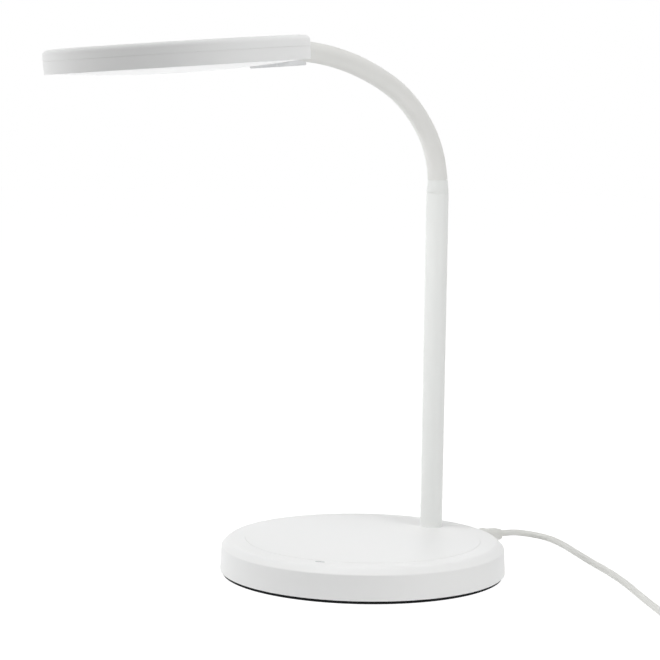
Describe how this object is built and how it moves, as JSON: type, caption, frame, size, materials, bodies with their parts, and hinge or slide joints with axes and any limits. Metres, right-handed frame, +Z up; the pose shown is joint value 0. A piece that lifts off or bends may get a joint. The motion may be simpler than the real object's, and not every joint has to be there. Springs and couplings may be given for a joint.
{
  "type": "desk lamp",
  "caption": "Desk lamp with a weighted round base, an upright tube, a bendable gooseneck and a flat round head with a glowing underside; plug and cable at the rear.",
  "frame": {"origin": "middle of the foot pad's underside, on the surface that the lamp stands on", "axes": "+Z up along the upright tube; the head points to -Y and the tube and the power inlet are on the +Y side; +X is to the right when the lamp is seen from its front along +Y"},
  "size_m": [0.3878, 0.3735, 0.3125],
  "materials": {
    "white_shell": "satin white moulded plastic",
    "white_tube": "smooth white powder coat",
    "soft_skin": "matte silicone skin",
    "dark_rubber": "matte",
    "inner_plastic": "matte moulded plastic",
    "key_grey": "smooth",
    "contact_rubber": "conductive rubber",
    "steel": "zinc plated",
    "plated_metal": "nickel plated",
    "link_plastic": "dark moulded acetal",
    "circuit_board": "green solder mask",
    "components": "moulded packages",
    "phosphor": "yellow phosphor in resin",
    "aluminium_sheet": "rolled",
    "reflector_white": "white sheet",
    "opal": "opal diffusing plastic",
    "cable_grey": "soft matte cable jacket",
    "lead_white": "thin lead"
  },
  "bodies": {
    "base": {"foot_pad": "dark_rubber", "base_pan": "inner_plastic", "ballast_plate": "steel", "base_shell": "white_shell", "top_disc": "white_shell", "touch_key": "key_grey", "touch_contact": "contact_rubber", "control_board": "circuit_board", "board_parts": "components", "board_screws": "steel", "base_screws": "steel", "inlet_board": "circuit_board", "power_inlet": "plated_metal", "inlet_lead": "lead_white", "stem_foot": "steel", "stem_washer": "steel", "stem_nut": "steel", "stem_tube": "white_tube", "stem_lead": "lead_white", "neck_collar": "white_tube", "plug_tip": "plated_metal", "plug_body": "cable_grey", "plug_boot": "cable_grey", "power_cord": "cable_grey", "cord_coil": "cable_grey", "cord_tail": "cable_grey", "usb_body": "cable_grey", "usb_shell": "plated_metal"},
    "neck_base": {"neck_root": "link_plastic", "root_clip": "steel", "sleeve_0": "soft_skin"},
    "link_1": {"spine_1": "link_plastic", "sleeve_1": "soft_skin"},
    "link_2": {"spine_2": "link_plastic", "sleeve_2": "soft_skin"},
    "link_3": {"spine_3": "link_plastic", "sleeve_3": "soft_skin"},
    "link_4": {"spine_4": "link_plastic", "sleeve_4": "soft_skin"},
    "link_5": {"spine_5": "link_plastic", "sleeve_5": "soft_skin"},
    "link_6": {"spine_6": "link_plastic", "sleeve_6": "soft_skin"},
    "head": {"neck_tip": "link_plastic", "sleeve_7": "soft_skin", "head_cover": "white_shell", "head_ring": "white_shell", "diffuser": "opal", "neck_cover": "white_shell", "neck_block": "inner_plastic", "clamp_screws": "steel", "heat_plate": "aluminium_sheet", "led_board": "aluminium_sheet", "led_chips": "phosphor", "reflector": "reflector_white", "light_screws": "steel", "head_screws": "steel", "head_lead": "lead_white"}
  },
  "joints": [
    {"name": "neck_swivel", "type": "hinge", "parent": "base", "child": "neck_base", "pos_m": [0, 0.0595, 0.234], "axis": [0, 0, 1], "range_deg": [-90, 90]},
    {"name": "neck_bend_1", "type": "hinge", "parent": "neck_base", "child": "link_1", "pos_m": [0, 0.05698, 0.24605], "axis": [1, 0, 0], "range_deg": [-12, 10]},
    {"name": "neck_bend_2", "type": "hinge", "parent": "link_1", "child": "link_2", "pos_m": [0, 0.04481, 0.26761], "axis": [1, 0, 0], "range_deg": [-12, 10]},
    {"name": "neck_bend_3", "type": "hinge", "parent": "link_2", "child": "link_3", "pos_m": [0, 0.02616, 0.28406], "axis": [1, 0, 0], "range_deg": [-12, 10]},
    {"name": "neck_bend_4", "type": "hinge", "parent": "link_3", "child": "link_4", "pos_m": [0, 0.00376, 0.29493], "axis": [1, 0, 0], "range_deg": [-12, 10]},
    {"name": "neck_bend_5", "type": "hinge", "parent": "link_4", "child": "link_5", "pos_m": [0, -0.02014, 0.30203], "axis": [1, 0, 0], "range_deg": [-12, 10]},
    {"name": "neck_bend_6", "type": "hinge", "parent": "link_5", "child": "link_6", "pos_m": [0, -0.0448, 0.30567], "axis": [1, 0, 0], "range_deg": [-12, 10]},
    {"name": "neck_bend_7", "type": "hinge", "parent": "link_6", "child": "head", "pos_m": [0, -0.06973, 0.30669], "axis": [1, 0, 0], "range_deg": [-12, 10]}
  ],
  "couplings": [
    {"joint": "neck_bend_2", "follows": "neck_bend_1", "ratio": 1},
    {"joint": "neck_bend_3", "follows": "neck_bend_1", "ratio": 1},
    {"joint": "neck_bend_4", "follows": "neck_bend_1", "ratio": 1},
    {"joint": "neck_bend_5", "follows": "neck_bend_1", "ratio": 1},
    {"joint": "neck_bend_6", "follows": "neck_bend_1", "ratio": 1},
    {"joint": "neck_bend_7", "follows": "neck_bend_1", "ratio": 1}
  ]
}
